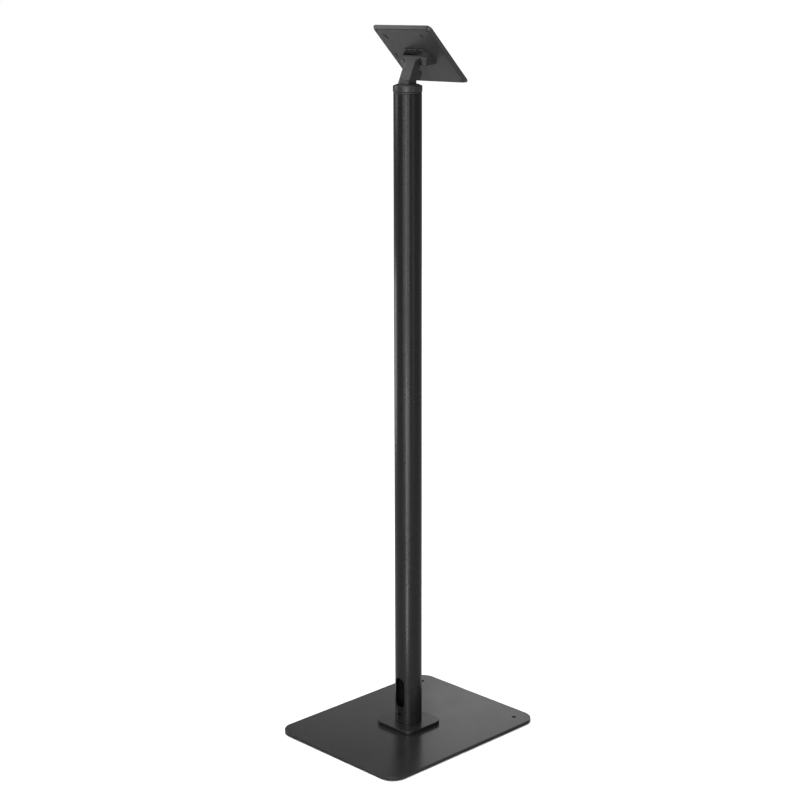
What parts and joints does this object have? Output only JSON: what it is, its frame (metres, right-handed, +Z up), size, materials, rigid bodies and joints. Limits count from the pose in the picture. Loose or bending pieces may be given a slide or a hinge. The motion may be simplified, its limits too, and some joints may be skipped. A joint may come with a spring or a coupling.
{
  "type": "kiosk floor stand",
  "caption": "Slim floor stand for a small touchscreen: rectangular foot plate, round column, and a tray that swivels and tilts on a short leaning neck.",
  "frame": {"origin": "on the floor, on the column's axis, at the centre of the foot plate", "axes": "+Z up; the person who uses the screen stands on the -Y side and the tray's face looks towards -Y and up; +X is to that person's right"},
  "size_m": [0.308, 0.384, 1.2967],
  "materials": {
    "plate_coat": "satin powder coat, near black, fine texture",
    "pole_coat": "satin paint, near black, smooth",
    "flange_coat": "satin powder coat, near black",
    "cap_coat": "satin powder coat, near black",
    "neck_coat": "satin powder coat, near black",
    "yoke_coat": "satin powder coat, near black",
    "tray_coat": "satin powder coat, near black",
    "rubber": "matt rubber, black",
    "nylon": "matt nylon, black",
    "aluminium": "as turned",
    "steel": "zinc-plated steel",
    "dark_steel": "black oxide steel"
  },
  "bodies": {
    "root": {"base_plate": "plate_coat", "foot_pad_1": "rubber", "foot_pad_2": "rubber", "foot_pad_3": "rubber", "foot_pad_4": "rubber", "foot_flange": "flange_coat", "flange_screw_1": "steel", "flange_screw_2": "steel", "flange_screw_3": "steel", "flange_screw_4": "steel", "pole_tube": "pole_coat", "pole_set_screw": "dark_steel", "top_insert": "aluminium", "swivel_ring": "nylon"},
    "head": {"swivel_cap": "cap_coat", "swivel_spindle": "steel", "spindle_washer": "steel", "spindle_nut": "steel", "neck_bracket": "neck_coat", "neck_cover": "neck_coat", "neck_screw_1": "steel", "neck_screw_2": "steel", "inner_washer_left": "nylon", "inner_washer_right": "nylon"},
    "tray": {"tilt_yoke": "yoke_coat", "tilt_bolt": "dark_steel", "friction_disc_left": "dark_steel", "friction_disc_right": "dark_steel", "spring_disc_left": "dark_steel", "spring_disc_right": "dark_steel", "tilt_stop_screw": "dark_steel", "tray_plate": "tray_coat", "tray_screw_1": "steel", "tray_screw_2": "steel", "tray_screw_3": "steel", "tray_screw_4": "steel"}
  },
  "joints": [
    {"name": "head_swivel", "type": "hinge", "parent": "root", "child": "head", "pos_m": [0, 0, 1.1838], "axis": [0, 0, 1], "range_deg": [-135, 135]},
    {"name": "tray_tilt", "type": "hinge", "parent": "head", "child": "tray", "pos_m": [0, -0.01858, 1.23618], "axis": [1, 0, 0], "range_deg": [-40, 40]}
  ]
}
